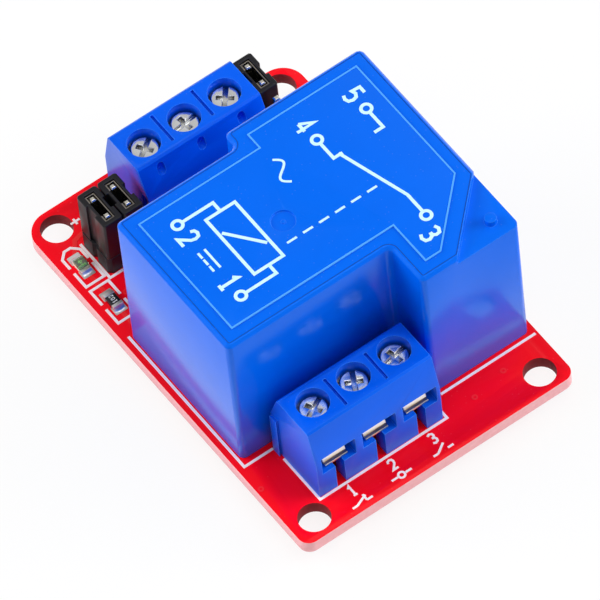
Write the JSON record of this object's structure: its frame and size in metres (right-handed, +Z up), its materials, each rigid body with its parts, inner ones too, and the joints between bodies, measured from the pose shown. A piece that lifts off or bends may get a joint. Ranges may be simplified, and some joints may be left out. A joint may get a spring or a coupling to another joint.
{
  "type": "relay module board",
  "caption": "Flat red circuit board carrying a boxy blue power relay, two screw terminal blocks and small pin headers with jumper caps, for switching a load.",
  "frame": {"origin": "middle of the board's plan, on the plane where the trimmed leads end", "axes": "+X along the board's short side, +Y along its long side towards the input block, +Z up from the board"},
  "size_m": [0.034, 0.0502, 0.0238],
  "materials": {
    "solder": "bright tin solder",
    "chip_black": "glazed black film on ceramic",
    "board_red": "glossy red solder mask over glass-fibre board",
    "package_black": "black epoxy package",
    "tinned_brass": "tinned brass strip",
    "guard_steel": "bright stainless leaf",
    "block_blue": "satin blue moulded nylon",
    "screw_steel": "bright zinc-plated steel",
    "cap_black": "black moulded plastic",
    "clip_bronze": "tinned phosphor bronze",
    "led_white": "cream ceramic base",
    "led_clear": "pale green-tinted resin",
    "header_black": "black moulded nylon",
    "header_pin": "tinned square pin",
    "plated_iron": "soft iron with a thin bright plating",
    "base_plastic": "dark blue moulded plastic",
    "copper_alloy": "rolled copper alloy",
    "bobbin_plastic": "natural moulded nylon",
    "relay_blue": "glossy blue moulded plastic",
    "silver_contact": "silver alloy rivet",
    "spring_steel": "rolled spring strip",
    "copper_wire": "lacquered copper wire"
  },
  "bodies": {
    "root": {"chip_end_caps": "solder", "chip_resistors": "chip_black", "circuit_board": "board_red", "coupler_body": "package_black", "diode_body": "package_black", "input_cage_1": "tinned_brass", "input_cage_2": "tinned_brass", "input_cage_3": "tinned_brass", "input_housing": "block_blue", "jumper_cap_left": "cap_black", "jumper_cap_rear": "cap_black", "jumper_cap_right": "cap_black", "jumper_clip_left": "clip_bronze", "jumper_clip_rear": "clip_bronze", "jumper_clip_right": "clip_bronze", "output_cage_1": "tinned_brass", "output_cage_2": "tinned_brass", "output_cage_3": "tinned_brass", "output_housing": "block_blue", "power_led_base": "led_white", "power_led_lens": "led_clear", "rear_header_body": "header_black", "rear_header_pins": "header_pin", "relay_base": "base_plastic", "relay_bobbin": "bobbin_plastic", "relay_case": "relay_blue", "relay_closed_terminal": "tinned_brass", "relay_coil_pins": "tinned_brass", "relay_common_terminal": "tinned_brass", "relay_core": "plated_iron", "relay_fixed_contacts": "silver_contact", "relay_open_terminal": "tinned_brass", "relay_return_spring": "spring_steel", "relay_winding": "copper_wire", "relay_yoke": "plated_iron", "selector_header_body": "header_black", "selector_header_pins": "header_pin", "signal_led_base": "led_white", "signal_led_lens": "led_clear", "small_package_leads": "solder", "solder_joints": "solder", "transistor_body": "package_black"},
    "armature": {"relay_armature": "plated_iron", "relay_blade": "copper_alloy", "relay_moving_contact": "silver_contact"},
    "output_clamp_1": {"output_guard_1": "guard_steel"},
    "output_screw_1": {"output_screw_1": "screw_steel"},
    "output_clamp_2": {"output_guard_2": "guard_steel"},
    "output_screw_2": {"output_screw_2": "screw_steel"},
    "output_clamp_3": {"output_guard_3": "guard_steel"},
    "output_screw_3": {"output_screw_3": "screw_steel"},
    "input_clamp_1": {"input_guard_1": "guard_steel"},
    "input_screw_1": {"input_screw_1": "screw_steel"},
    "input_clamp_2": {"input_guard_2": "guard_steel"},
    "input_screw_2": {"input_screw_2": "screw_steel"},
    "input_clamp_3": {"input_guard_3": "guard_steel"},
    "input_screw_3": {"input_screw_3": "screw_steel"}
  },
  "joints": [
    {"name": "armature_pivot", "type": "hinge", "parent": "root", "child": "armature", "pos_m": [0.002, -0.00265, 0.0172], "axis": [0, -1, 0], "range_deg": [0, 4.3], "stiffness_Nm_per_rad": 0.01, "springref_deg": -11.46},
    {"name": "output_clamp_slide_1", "type": "slide", "parent": "root", "child": "output_clamp_1", "axis": [0, 0, 1], "range_m": [0, 0.0014]},
    {"name": "output_screw_turn_1", "type": "hinge", "parent": "output_clamp_1", "child": "output_screw_1", "pos_m": [-0.00955, -0.0171, 0.0113], "axis": [0, 0, 1], "range_deg": [0, 1121]},
    {"name": "output_clamp_slide_2", "type": "slide", "parent": "root", "child": "output_clamp_2", "axis": [0, 0, 1], "range_m": [0, 0.0014]},
    {"name": "output_screw_turn_2", "type": "hinge", "parent": "output_clamp_2", "child": "output_screw_2", "pos_m": [-0.00447, -0.0171, 0.0113], "axis": [0, 0, 1], "range_deg": [0, 1121]},
    {"name": "output_clamp_slide_3", "type": "slide", "parent": "root", "child": "output_clamp_3", "axis": [0, 0, 1], "range_m": [0, 0.0014]},
    {"name": "output_screw_turn_3", "type": "hinge", "parent": "output_clamp_3", "child": "output_screw_3", "pos_m": [0.00061, -0.0171, 0.0113], "axis": [0, 0, 1], "range_deg": [0, 1121]},
    {"name": "input_clamp_slide_1", "type": "slide", "parent": "root", "child": "input_clamp_1", "axis": [0, 0, 1], "range_m": [0, 0.0014]},
    {"name": "input_screw_turn_1", "type": "hinge", "parent": "input_clamp_1", "child": "input_screw_1", "pos_m": [0.0058, 0.0196, 0.0113], "axis": [0, 0, 1], "range_deg": [0, 1121]},
    {"name": "input_clamp_slide_2", "type": "slide", "parent": "root", "child": "input_clamp_2", "axis": [0, 0, 1], "range_m": [0, 0.0014]},
    {"name": "input_screw_turn_2", "type": "hinge", "parent": "input_clamp_2", "child": "input_screw_2", "pos_m": [0.00072, 0.0196, 0.0113], "axis": [0, 0, 1], "range_deg": [0, 1121]},
    {"name": "input_clamp_slide_3", "type": "slide", "parent": "root", "child": "input_clamp_3", "axis": [0, 0, 1], "range_m": [0, 0.0014]},
    {"name": "input_screw_turn_3", "type": "hinge", "parent": "input_clamp_3", "child": "input_screw_3", "pos_m": [-0.00436, 0.0196, 0.0113], "axis": [0, 0, 1], "range_deg": [0, 1121]}
  ],
  "couplings": [
    {"joint": "output_screw_turn_1", "follows": "output_clamp_slide_1", "rad_per_m": 13963},
    {"joint": "output_screw_turn_2", "follows": "output_clamp_slide_2", "rad_per_m": 13963},
    {"joint": "output_screw_turn_3", "follows": "output_clamp_slide_3", "rad_per_m": 13963},
    {"joint": "input_screw_turn_1", "follows": "input_clamp_slide_1", "rad_per_m": 13963},
    {"joint": "input_screw_turn_2", "follows": "input_clamp_slide_2", "rad_per_m": 13963},
    {"joint": "input_screw_turn_3", "follows": "input_clamp_slide_3", "rad_per_m": 13963}
  ]
}
